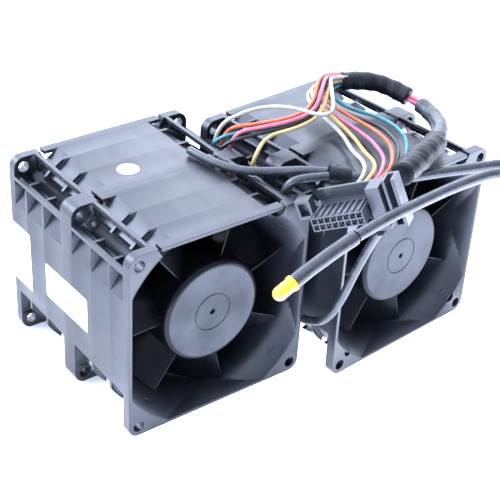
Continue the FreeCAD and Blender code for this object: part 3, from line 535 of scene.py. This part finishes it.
def round_cord(name, material, diameter):
    """Round tube about the route's spline, its ends capped."""
    curve = spline_of(name, ROUTES[name])
    curve.bevel_depth = diameter / 2
    curve.bevel_resolution = CORD_BEVEL_STEPS
    curve.use_fill_caps = True
    return placed(f"{name}_skin", curve, material, [name])


def run_along(line):
    """Distance from a line's start to each of its points."""
    return np.r_[0, np.cumsum(np.linalg.norm(np.diff(line, axis=0), axis=1))]


def length_of(line):
    """Length of a line."""
    return np.linalg.norm(np.diff(line, axis=0), axis=1).sum()


def centreline(name, step, before, after):
    """Evenly spaced points on a route's spline, run on straight at its ends."""
    holder = bpy.data.objects.new("route", spline_of("route", ROUTES[name]))
    mesh = bpy.data.meshes.new_from_object(holder)
    line = values_of(mesh.vertices, "co", 3)
    bpy.data.meshes.remove(mesh)
    bpy.data.objects.remove(holder)
    head = line[0] - (line[1] - line[0]) / np.linalg.norm(line[1] - line[0]) * before
    tail = line[-1] + (line[-1] - line[-2]) / np.linalg.norm(line[-1] - line[-2]) * after
    line = np.vstack([*([head] if before else []), line, *([tail] if after else [])])
    run = run_along(line)
    even = np.linspace(0, run[-1], int(run[-1] / step))
    return np.stack([np.interp(even, run, line[:, axis]) for axis in range(3)], axis=1)


def beside(line):
    """Unit vectors across a line: level side and the one over it."""
    ahead = np.gradient(line, axis=0)
    side = np.cross(ahead, (0, 0, 1))
    side /= np.linalg.norm(side, axis=1, keepdims=True)
    over = np.cross(side, ahead)
    return side, over / np.linalg.norm(over, axis=1, keepdims=True)


def values_of(items, attribute, width=None, kind=float):
    """An attribute of all items of a mesh as an array, a row each where it has a width."""
    values = np.empty((len(items), width) if width else len(items), kind)
    items.foreach_get(attribute, values.reshape(-1))
    return values


def mesh_of(name, points, faces, smooth=True, finishes=None):
    """Mesh from points and faces, smooth or flat, with a material's place in the list for each face."""
    mesh = bpy.data.meshes.new(name)
    mesh.from_pydata(np.asarray(points).tolist(), [], [list(map(int, face)) for face in faces])
    mesh.polygons.foreach_set("use_smooth", np.full(len(faces), smooth))
    if finishes is not None:
        mesh.polygons.foreach_set("material_index", np.asarray(finishes, np.int32))
    mesh.update()
    return mesh


def wall_quads(rings, around):
    """Quads between closed rings of points, each ring joined to the next."""
    ring, turn = np.mgrid[0 : rings - 1, 0:around]
    ahead = (turn + 1) % around
    near, far = ring * around, (ring + 1) * around
    return np.stack([near + turn, near + ahead, far + ahead, far + turn], -1).reshape(-1, 4)


def tube_faces(rings, around):
    """Walls between closed rings of points, and a fan round a pole at each end."""
    turn = np.arange(around)
    ahead = (turn + 1) % around
    base, first, last = (rings - 1) * around, rings * around, rings * around + 1
    start_fan = np.stack([ahead, turn, np.full(around, first)], 1)
    end_fan = np.stack([base + turn, base + ahead, np.full(around, last)], 1)
    return [*wall_quads(rings, around), *start_fan, *end_fan]


def swept(line, radius, around):
    """Points of a tube: line(s) + r(s, a) * (cos a * side(s) + sin a * over(s)), its ends drawn in to a pole."""
    side, over = beside(line)
    run = run_along(line)
    angle = np.linspace(0, 2 * np.pi, around, endpoint=False)
    run, angle = run[:, None], angle[None, :]
    reach = radius(run, angle) * np.ones_like(run * angle)
    across = np.cos(angle)[..., None] * side[:, None] + np.sin(angle)[..., None] * over[:, None]
    rings = line[:, None] + reach[..., None] * across
    return np.vstack([rings.reshape(-1, 3), line[0], line[-1]]), tube_faces(len(line), around)


def lipped(run, length):
    """Share of the full radius near the ends: a quarter-round lip."""
    near = np.clip(np.minimum(run, length - run) / LIP, 0, 1)
    return LIP_START + (1 - LIP_START) * np.sqrt(1 - (1 - near) ** 2)


def eased(value, start, stop):
    """Smooth step from 0 at start to 1 at stop."""
    share = np.clip((value - start) / (stop - start), 0, 1)
    return share * share * (3 - 2 * share)


def sleeve(name, material, radius, folds, before=0.0):
    """Sleeve about a route: the radius times the lip share plus the folds' relief."""
    line = centreline(name, SLEEVE_STEP, before, 0)
    length = length_of(line)

    def relief(run, angle):
        from_end = np.minimum(run, length - run)
        return radius * lipped(run, length) + folds(run, angle) * eased(from_end, 0, FOLDS_FADE)

    points, faces = swept(line, relief, SLEEVE_AROUND)
    return placed(f"{name}_skin", mesh_of(name, points, faces), material, [name])


def soft_folds(pitch, depth, lean, phase):
    """Folds: depth * (a leaning wave along the sleeve + a slower sag + a finer crease, both across it)."""
    sag_pitch, fine_pitch = 3.1 * pitch, 0.37 * pitch

    def folds(run, angle):
        wave = np.sin(2 * np.pi * run / pitch + lean * np.sin(angle + phase))
        sag = np.sin(2 * np.pi * run / sag_pitch + 2 * angle + phase)
        fine = np.sin(2 * np.pi * run / fine_pitch + 3 * angle - phase)
        return depth * (0.55 * wave + 0.35 * sag + 0.18 * fine)

    return folds


def tape_turns(pitch, thickness, phase):
    """Wound tape: each turn starts a tape's thickness proud and beds down to its edge."""
    edge, bed_from, bed_share = 0.08, 0.1, 0.8
    slack_pitch = 2.3 * pitch

    def folds(run, angle):
        along = (run / pitch - angle / (2 * np.pi) + phase) % 1
        step = eased(along, 0, edge) * (1 - bed_share * eased(along, bed_from, 1))
        slack = 0.3 * np.sin(2 * np.pi * run / slack_pitch + 3 * angle)
        return thickness * (2.2 * step + slack - 0.6)

    return folds


def strands(name, colours, twist):
    """Bare wires side by side: each centre turns about the line on a ring, by twist over the length."""
    line = centreline(name, STRAND_STEP, BARE_OVERLAP, BARE_OVERLAP)
    side, over = beside(line)
    points, faces, finishes = [], [], []
    for index in range(len(colours)):
        angle = 2 * np.pi * index / len(colours) + twist * np.linspace(-0.5, 0.5, len(line))
        own = line + STRAND_RING * (np.cos(angle)[:, None] * side + np.sin(angle)[:, None] * over)
        more, sides = swept(own, lambda run, turn: WIRE / 2, STRAND_AROUND)
        faces += [face + sum(map(len, points)) for face in sides]
        points.append(more)
        finishes += [index] * len(sides)
    mesh = mesh_of(name, np.vstack(points), faces, finishes=finishes)
    return placed(f"{name}_skin", mesh, [WIRES[colour] for colour in colours], [name])


for name, (finish, diameter, *_) in FREE_CORDS.items():
    jacket = finish == "jacket"
    material = JACKET if jacket else WIRES[finish]
    round_cord(name, material, diameter)

front_cable = round_cord("front_jacketed_cable", JACKET, CABLE)
loom = sleeve("loom_sleeve", SLEEVE, 3.85 * MM, soft_folds(6 * MM, 0.22 * MM, 1.1, 0.4), BARE_OVERLAP)
taped = sleeve("taped_sleeve", TAPE, 3.3 * MM, tape_turns(7.5 * MM, 0.16 * MM, 0.2))
boot = sleeve("boot_sleeve", SLEEVE, 4.7 * MM, soft_folds(9 * MM, 0.3 * MM, 1.4, 1.9))
shrink = sleeve("led_shrink_sleeve", TAPE, 2.55 * MM, soft_folds(11 * MM, 0.06 * MM, 0.8, 0.3))
upper_bare = strands("upper_bare_wires", ["pink", "pink", "white", "orange"], 0.7)
lower_bare = strands("lower_bare_wires", ["cream", "pink", "teal", "yellow"], -0.6)


# Stage housings with their corner pockets opened down to the barrel.
# Within a stage, lengths are in mm: across, up, and along from the seam to the mouth.

STAGE_MIDDLE = 21.5 * MM
HALF, BEYOND, BARREL, LOW_WEB = 40.0, 40.0 + 0.3, 45.03, 46.8
TOP_BAR, SIDE_BAR, GUARD_BAR, BAR_FLOOR = (29.2, 30.8), (31.2, 32.8), (26.0, 27.6), 38.1
GUARD_BELOW = 20
GAPS = ((4.02, 16.49), (17.91, 29.49), (30.91, 38.98))
WEBS = ((16.4, 18.0), (29.4, 31.0))
ARC_POINTS = 40
BARREL_SPREAD, BARREL_FROM, BARREL_TO = math.radians(12), 44.4 * MM, 47.2 * MM
DOUBLES_GAP, SHARP_ANGLE, LEAST = 0.0005 * MM, math.radians(28), 1e-9


def in_stage(joint, points):
    """A stage's own points, in mm, placed in the frame."""
    axis = np.array(joint["axis"], float)
    outwards = axis if "rear" in joint["child"] else -axis
    seam = np.array(joint["pos_m"]) - STAGE_MIDDLE * outwards
    own = points * MM
    return seam + own[:, :1] * np.cross(axis, (0, 0, 1)) + own[:, 1:2] * np.array((0, 0, 1)) + own[:, 2:] * outwards


def cleaned(mesh, merge=None):
    """Merge a mesh's doubles where a distance is given, or else turn its faces outwards."""
    shape = bmesh.new()
    shape.from_mesh(mesh)
    if merge:
        bmesh.ops.remove_doubles(shape, verts=shape.verts, dist=merge)
    else:
        bmesh.ops.recalc_face_normals(shape, faces=shape.faces)
    shape.to_mesh(mesh)
    shape.free()


def pocket_outline(radius, bars, guard_kept):
    """Corner pocket seen along the axis: square corner notched by bars, closed by an arc about the axis."""
    start = math.acos(HALF / radius)
    end = math.pi / 2 - start
    outline = [(radius * math.sin(start), BEYOND)]
    if bars:
        outline += [(TOP_BAR[0], BEYOND), (TOP_BAR[0], BAR_FLOOR), (TOP_BAR[1], BAR_FLOOR), (TOP_BAR[1], BEYOND)]
    outline.append((BEYOND, BEYOND))
    if guard_kept:
        start = math.asin(SIDE_BAR[1] / radius)
        outline.append((BEYOND, SIDE_BAR[1]))
    else:
        for low, high in bars:
            outline += [(BEYOND, high), (BAR_FLOOR, high), (BAR_FLOOR, low), (BEYOND, low)]
        outline.append((BEYOND, radius * math.sin(start)))
    angle = np.linspace(start, end, ARC_POINTS)
    return np.vstack([outline, radius * np.stack([np.cos(angle), np.sin(angle)], axis=1)])


def pocket_cutter(name, joint, radius, slabs):
    """Closed prisms that clear the four corners of a stage between given heights; bars stand at the top only."""
    points, faces = [], []
    for side in (-1, 1):
        for end in (-1, 1):
            laddered = side < 0 < end
            for low, high in slabs:
                bars = [SIDE_BAR, GUARD_BAR] if laddered and low < GUARD_BELOW else [SIDE_BAR]
                bars = bars if end > 0 else []
                flat = pocket_outline(radius, bars, laddered and radius == LOW_WEB) * (side, end)
                count, base = len(flat), sum(map(len, points))
                points += [np.c_[flat, np.full(count, level)] for level in (low, high)]
                ring = np.arange(count)
                faces += [(ring[::-1] + base).tolist(), (ring + base + count).tolist()]
                faces += (wall_quads(2, count) + base).tolist()
    mesh = mesh_of(name, in_stage(joint, np.vstack(points)), faces, smooth=False)
    cleaned(mesh)
    cutter = bpy.data.objects.new(name, mesh)
    scene.collection.objects.link(cutter)
    return cutter


def barrel_rounded(mesh, joint):
    """Corner normals of facets that face along the radius: (corner - axis) / distance, so they read as one round."""
    normals, centres = values_of(mesh.polygons, "normal", 3), values_of(mesh.polygons, "center", 3)
    sizes, vertex = values_of(mesh.polygons, "loop_total", kind=int), values_of(mesh.loops, "vertex_index", kind=int)
    points, shading = values_of(mesh.vertices, "co", 3), values_of(mesh.corner_normals, "vector", 3)
    axis = np.array(joint["axis"], float)
    reach = [spots - np.array(joint["pos_m"]) for spots in (centres, points)]
    reach = [spots - (spots @ axis)[:, None] * axis for spots in reach]
    distance = [np.linalg.norm(spots, axis=1) for spots in reach]
    along = np.sum(normals * reach[0], axis=1) / np.maximum(distance[0], LEAST)
    facing = (np.abs(along) > math.cos(BARREL_SPREAD)) & (distance[0] > BARREL_FROM) & (distance[0] < BARREL_TO)
    face = np.repeat(np.arange(len(mesh.polygons)), sizes)
    chosen = facing[face]
    radial = reach[1][vertex] / np.maximum(distance[1][vertex], LEAST)[:, None]
    shading[chosen] = radial[chosen] * np.sign(along[face])[chosen][:, None]
    mesh.normals_split_custom_set(shading.tolist())


def opened_housing(joint):
    """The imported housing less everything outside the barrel, its low webs and its thin bars in the corners."""
    name = joint["child"].replace("_rotor", "_housing")
    mesh = nodes[name].data.copy()
    mesh.name = f"{name}_open"
    cleaned(mesh, merge=DOUBLES_GAP)
    piece = bpy.data.objects.new(f"{name}_open", mesh)
    scene.collection.objects.link(piece)
    cutters = [pocket_cutter("gap_cutter", joint, BARREL, GAPS), pocket_cutter("web_cutter", joint, LOW_WEB, WEBS)]
    for cutter in cutters:
        cut = piece.modifiers.new(cutter.name, "BOOLEAN")
        cut.operation = "DIFFERENCE"
        cut.solver = "EXACT"
        cut.object = cutter
    bpy.context.view_layer.update()
    finished = bpy.data.meshes.new_from_object(piece.evaluated_get(bpy.context.evaluated_depsgraph_get()))
    piece.modifiers.clear()
    piece.data = finished
    for cutter in cutters:
        bpy.data.objects.remove(cutter)
    finished.polygons.foreach_set("use_smooth", np.full(len(finished.polygons), True))
    finished.set_sharp_from_angle(angle=SHARP_ANGLE)
    barrel_rounded(finished, joint)
    paint(piece, HOUSING)
    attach(piece, STATOR_BODY)
    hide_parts(name)


for joint in frame["joints"]:
    opened_housing(joint)


THROAT, MOUTH, BELL_MIDDLE, BELL_HEIGHTS = 38.0, 45.0, 39.82, (27.0, 35.74, 43.0)
RELIEF_FROM, RELIEF_TO, RELIEF_SPREAD = 35.5, 42.2, math.radians(6.5)
RELIEF_DEPTH, RELIEF_WALL, RELIEF_STEPS = 0.25, 0.6, 9
CORNERS = (1, 3, 5, 7)  # eighths of a turn


def bell_radius(height):
    """Radius of the mouth at a height: centre - sqrt(R^2 - (height - middle)^2), an arc through its three points."""
    spots = np.array([(THROAT, BELL_HEIGHTS[0]), (BELL_MIDDLE, BELL_HEIGHTS[1]), (MOUTH, BELL_HEIGHTS[2])])
    centre, middle = np.linalg.solve(2 * np.diff(spots, axis=0), np.diff((spots**2).sum(1)))
    return centre - np.sqrt((centre - THROAT) ** 2 + (BELL_HEIGHTS[0] - middle) ** 2 - (height - middle) ** 2)


def relief_shade_sheets(name):
    """Thin strips of the bell, just under its skin, that close the rivet reliefs at a mouth's four corners: housing
    plastic put there as painted shade, where the reliefs would show only shade and the glowing floor would show
    through them white.
    """
    heights = np.linspace(RELIEF_FROM, RELIEF_TO, RELIEF_STEPS)
    skin = bell_radius(heights) + RELIEF_DEPTH
    loop = np.vstack([np.c_[skin, heights], np.c_[skin + RELIEF_WALL, heights][::-1]])
    around = len(loop)
    rung = np.arange(RELIEF_STEPS - 1)
    cap = np.stack([rung, rung + 1, around - 2 - rung, around - 1 - rung], 1)
    one = np.vstack([wall_quads(RELIEF_STEPS, around), cap, cap + (RELIEF_STEPS - 1) * around])
    points, faces = [], []
    for joint in frame["joints"]:
        for corner in CORNERS:
            sweep = np.linspace(-RELIEF_SPREAD, RELIEF_SPREAD, RELIEF_STEPS)[:, None]
            angle = corner * math.pi / 4 + sweep
            level, high = loop[:, 0] * np.cos(angle), loop[:, 0] * np.sin(angle)
            deep = np.broadcast_to(loop[:, 1], level.shape)
            faces.append(one + sum(map(len, points)))
            points.append(in_stage(joint, np.stack([level, high, deep], -1).reshape(-1, 3)))
    mesh = mesh_of(name, np.vstack(points), np.vstack(faces))
    cleaned(mesh)
    mesh.set_sharp_from_angle(angle=SHARP_ANGLE)
    return placed(name, mesh, HOUSING)


# Painted shade: strips that close the rivet reliefs in place of the shade seen through them.
relief_shade_sheets("rivet_relief_shade_sheets")


# Sockets of the plug

PLUG_YAW, PLUG_ROLL = math.radians(-57.9), math.radians(24.1)
PLUG_PITCH, PLUG_WAYS = 2.5 * MM, 8
CONTACT_OUTSIDE, CONTACT_INSIDE = 0.86 * MM, 0.62 * MM
CONTACT_FRONT, CONTACT_BACK = -1.4 * MM, -5.9 * MM


def contact_rows(name):
    """Box contacts: two square rings of corners, outer and inner, at a front and a back depth."""
    upright = Matrix.Rotation(math.pi / 2, 3, "X")
    turn = np.array(Matrix.Rotation(PLUG_YAW, 3, "Z") @ upright @ Matrix.Rotation(PLUG_ROLL, 3, "Z"))
    angle = np.pi / 4 + np.arange(4) * np.pi / 2
    corner = np.sqrt(2) * np.stack([np.cos(angle), np.sin(angle)], axis=1)
    loop = [
        (CONTACT_OUTSIDE, CONTACT_BACK),
        (CONTACT_OUTSIDE, CONTACT_FRONT),
        (CONTACT_INSIDE, CONTACT_FRONT),
        (CONTACT_INSIDE, CONTACT_BACK),
    ]
    one = np.array([[(*(corner[k] * half), depth) for k in range(4)] for half, depth in loop]).reshape(-1, 3)
    way, row = np.meshgrid(np.arange(PLUG_WAYS) - (PLUG_WAYS - 1) / 2, (-0.5, 0.5))
    spots = np.stack([way.ravel(), row.ravel(), 0 * way.ravel()], axis=1) * PLUG_PITCH
    points = (spots[:, None] + one).reshape(-1, 3) @ turn.T + np.array(mounts["plug_mating_face"]["pos_m"])
    quads = wall_quads(len(loop) + 1, 4) % len(one)
    faces = (quads + len(one) * np.arange(len(spots))[:, None, None]).reshape(-1, 4)
    return placed(name, mesh_of(name, points, faces, smooth=False), CONTACT)


contacts = contact_rows("plug_contacts")


# Bare labels

LABEL_THICKNESS, LABEL_GAP, LABEL_CORNER_POINTS = 0.14 * MM, 0.01 * MM, 9
LABEL_SHARES = np.array([0.35, 0.7, 0.92, 0.985, 1, 1, 0.9, 0.4])
LABEL_RISE = np.array([1, 1, 1, 1, 0.75, 0, 0, 0])
LABEL_LEAN = math.radians(1.2)


def label_plate(name, centre, across, up, width, height, corner):
    """Plate: share * rounded outline(t) in its plane, raised by its thickness; each face closed at its middle."""
    across, up = np.array(across), np.array(up)
    normal = np.cross(across, up)
    angle = np.linspace(0, np.pi / 2, LABEL_CORNER_POINTS)
    arc = corner * np.stack([np.cos(angle), np.sin(angle)], axis=1)
    quarter = [np.linalg.matrix_power(np.array([[0, -1], [1, 0]]), k) for k in range(4)]
    middles = np.array([(1, 1), (-1, 1), (-1, -1), (1, -1)]) * (width / 2 - corner, height / 2 - corner)
    edge = np.vstack([middles[k] + arc @ quarter[k].T for k in range(4)])
    raised = LABEL_RISE * LABEL_THICKNESS + LABEL_GAP
    flat = LABEL_SHARES[:, None, None] * edge
    rings = flat[..., :1] * across + flat[..., 1:] * up + raised[:, None, None] * normal
    points = np.vstack([rings.reshape(-1, 3), raised[0] * normal, raised[-1] * normal]) + np.array(centre)
    mesh = mesh_of(name, points, tube_faces(len(LABEL_SHARES), len(edge)))
    return placed(name, mesh, LABEL)


left_low, left_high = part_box("left_front_housing")
rear_low, rear_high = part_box("left_rear_housing")
side_x, top_z = left_low.x, left_high.z
seam_y = (left_high.y + rear_low.y) / 2
along_side = ((0, -math.cos(LABEL_LEAN), math.sin(LABEL_LEAN)), (0, math.sin(LABEL_LEAN), math.cos(LABEL_LEAN)))
seam_spot = (side_x, seam_y + 1.1 * MM, 38.5 * MM)
rear_spot = (side_x, rear_high.y - 7.8 * MM, 38.3 * MM)
dot_spot = ((left_low.x + left_high.x) / 2 - 6.9 * MM, seam_y + 10 * MM, top_z)
label_plate("seam_label", seam_spot, *along_side, width=31 * MM, height=15 * MM, corner=1.2 * MM)
label_plate("rear_label", rear_spot, *along_side, width=14 * MM, height=26.5 * MM, corner=0.8 * MM)
label_plate("top_dot", dot_spot, (1, 0, 0), (0, 1, 0), width=8.8 * MM, height=8.8 * MM, corner=4.39 * MM)


# Floor and studio light

FLOOR_HALF = 3.0
FLOOR_TONE, FLOOR_TONE_LIGHT = (0.74, 0.75, 0.77), (0.79, 0.80, 0.82)
WORLD_TONE, SKY_TONE, SIDE_TONE = (0.76, 0.825, 1.0), (0.76, 0.84, 1.0), (0.95, 0.97, 1.0)
FRONT_GLOW, BACK_GLOW, GLOW_REACH = 6.6, 0.2, (-0.08, 0.0)
BRIGHT_WAY, DIM_GLOW, BRIGHT_GLOW, SKY_REACH = (-0.30, 0.75, 0.59), 1.1, 6.6, (-0.3, 0.9)


def floor_board():
    """Pale matt studio floor that glows as a light table does, most in front of the object."""
    points = [(side * FLOOR_HALF, end * FLOOR_HALF, 0) for side, end in ((-1, -1), (1, -1), (1, 1), (-1, 1))]
    board = bpy.data.objects.new("studio_floor", mesh_of("studio_floor", points, [(0, 1, 2, 3)], smooth=False))
    material, tree, shader, place = fresh("studio_white")
    marks = patches(tree, place, scale=3, detail=3)
    forward = add(tree, "SeparateXYZ", Vector=place).outputs["Y"]
    wire_up(
        tree,
        shader,
        {
            "Base_Color": blend(tree, marks, FLOOR_TONE, FLOOR_TONE_LIGHT),
            "Roughness": 0.9,
            "Emission_Color": (*WORLD_TONE, 1),
            "Emission_Strength": spread(tree, forward, FRONT_GLOW, BACK_GLOW, *GLOW_REACH),
        },
    )
    board.data.materials.append(material)
    scene.collection.objects.link(board)


def softbox(name, place, target, size, power, colour):
    """Rectangular soft light aimed at a spot."""
    lamp = bpy.data.lights.new(name, "AREA")
    lamp.shape = "RECTANGLE"
    lamp.size, lamp.size_y = size
    lamp.energy = power
    lamp.color = colour
    holder = bpy.data.objects.new(name, lamp)
    aim = Vector(target) - Vector(place)
    holder.rotation_euler = aim.to_track_quat("-Z", "Y").to_euler()
    holder.location = place
    scene.collection.objects.link(holder)


def studio_world():
    """White studio: dim behind the viewer, bright above and beyond the object."""
    world = bpy.data.worlds.new("studio")
    world.use_nodes = True
    tree = world.node_tree
    way = add(tree, "TexCoord").outputs["Generated"]
    towards = computed(tree, "VectorMath", "DOT_PRODUCT", way, BRIGHT_WAY)["Value"]
    glow = spread(tree, towards, DIM_GLOW, BRIGHT_GLOW, *SKY_REACH)
    wire_up(tree, tree.nodes["Background"], {"Color": (*WORLD_TONE, 1), "Strength": glow})
    scene.world = world


floor_board()
studio_world()
scene.view_settings.view_transform = "Standard"
softbox("back_softbox", (0.45, 0.75, 0.62), (0, 0, 0.05), size=(1.1, 0.5), power=4, colour=SKY_TONE)
softbox("left_softbox", (-0.9, 0.1, 0.35), (0, 0, 0.04), size=(0.7, 0.5), power=1.5, colour=SIDE_TONE)
softbox("edge_softbox", (-0.57, 0.74, 0.64), (-0.05, 0, 0.08), size=(0.5, 0.5), power=13, colour=SKY_TONE)
